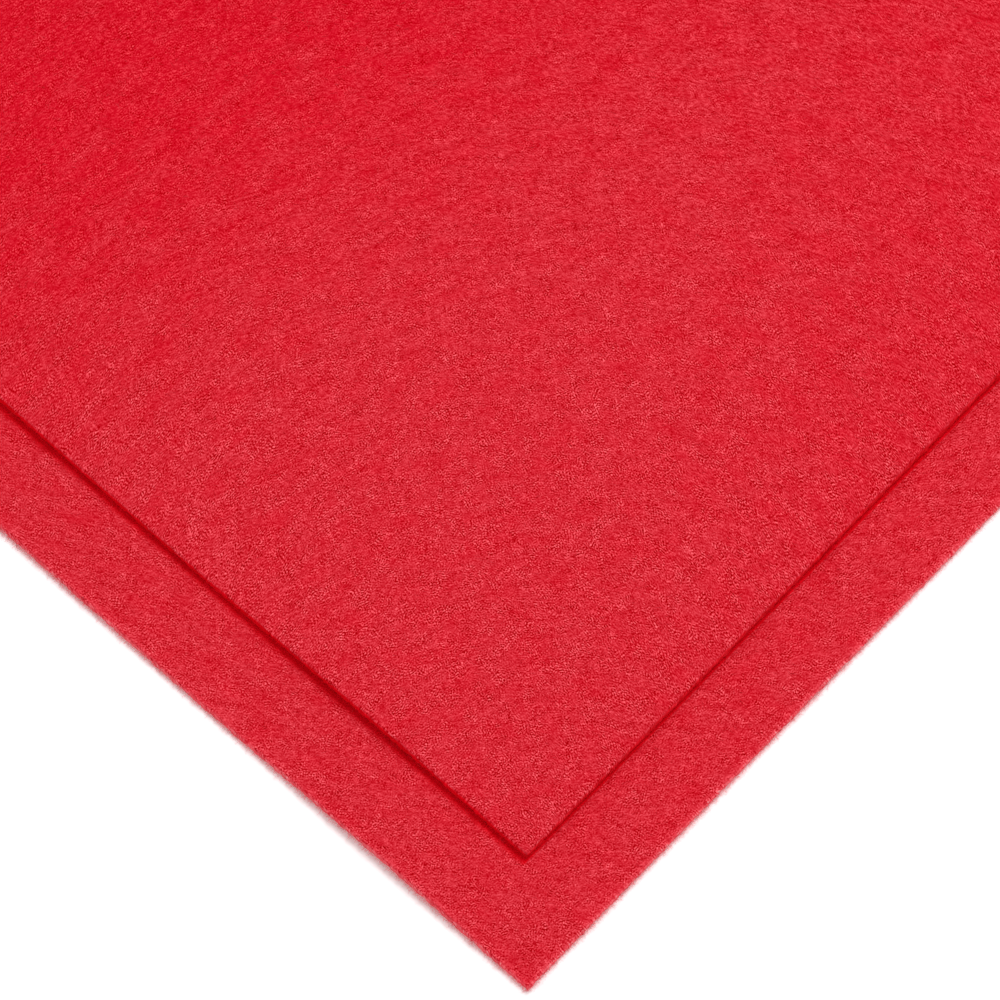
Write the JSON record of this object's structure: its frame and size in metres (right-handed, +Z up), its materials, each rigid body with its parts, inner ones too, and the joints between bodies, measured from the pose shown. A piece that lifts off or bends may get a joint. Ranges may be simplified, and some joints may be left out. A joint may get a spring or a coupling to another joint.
{
  "type": "folded felt square",
  "caption": "Square of thick felt folded corner to corner, with a soft loop at the fold and the upper corner lying a little short of the lower one.",
  "frame": {"origin": "bottom centre of the folded cloth's box, on the surface that it lies on", "axes": "+X along the fold, -Y from the fold to the two corners that lie on each other, +Z up"},
  "size_m": [0.4244, 0.222, 0.0106],
  "materials": {
    "felt": "matted wool and viscose fibre, matt, with a short pale fuzz"
  },
  "bodies": {
    "root": {"felt": "felt"}
  },
  "joints": []
}
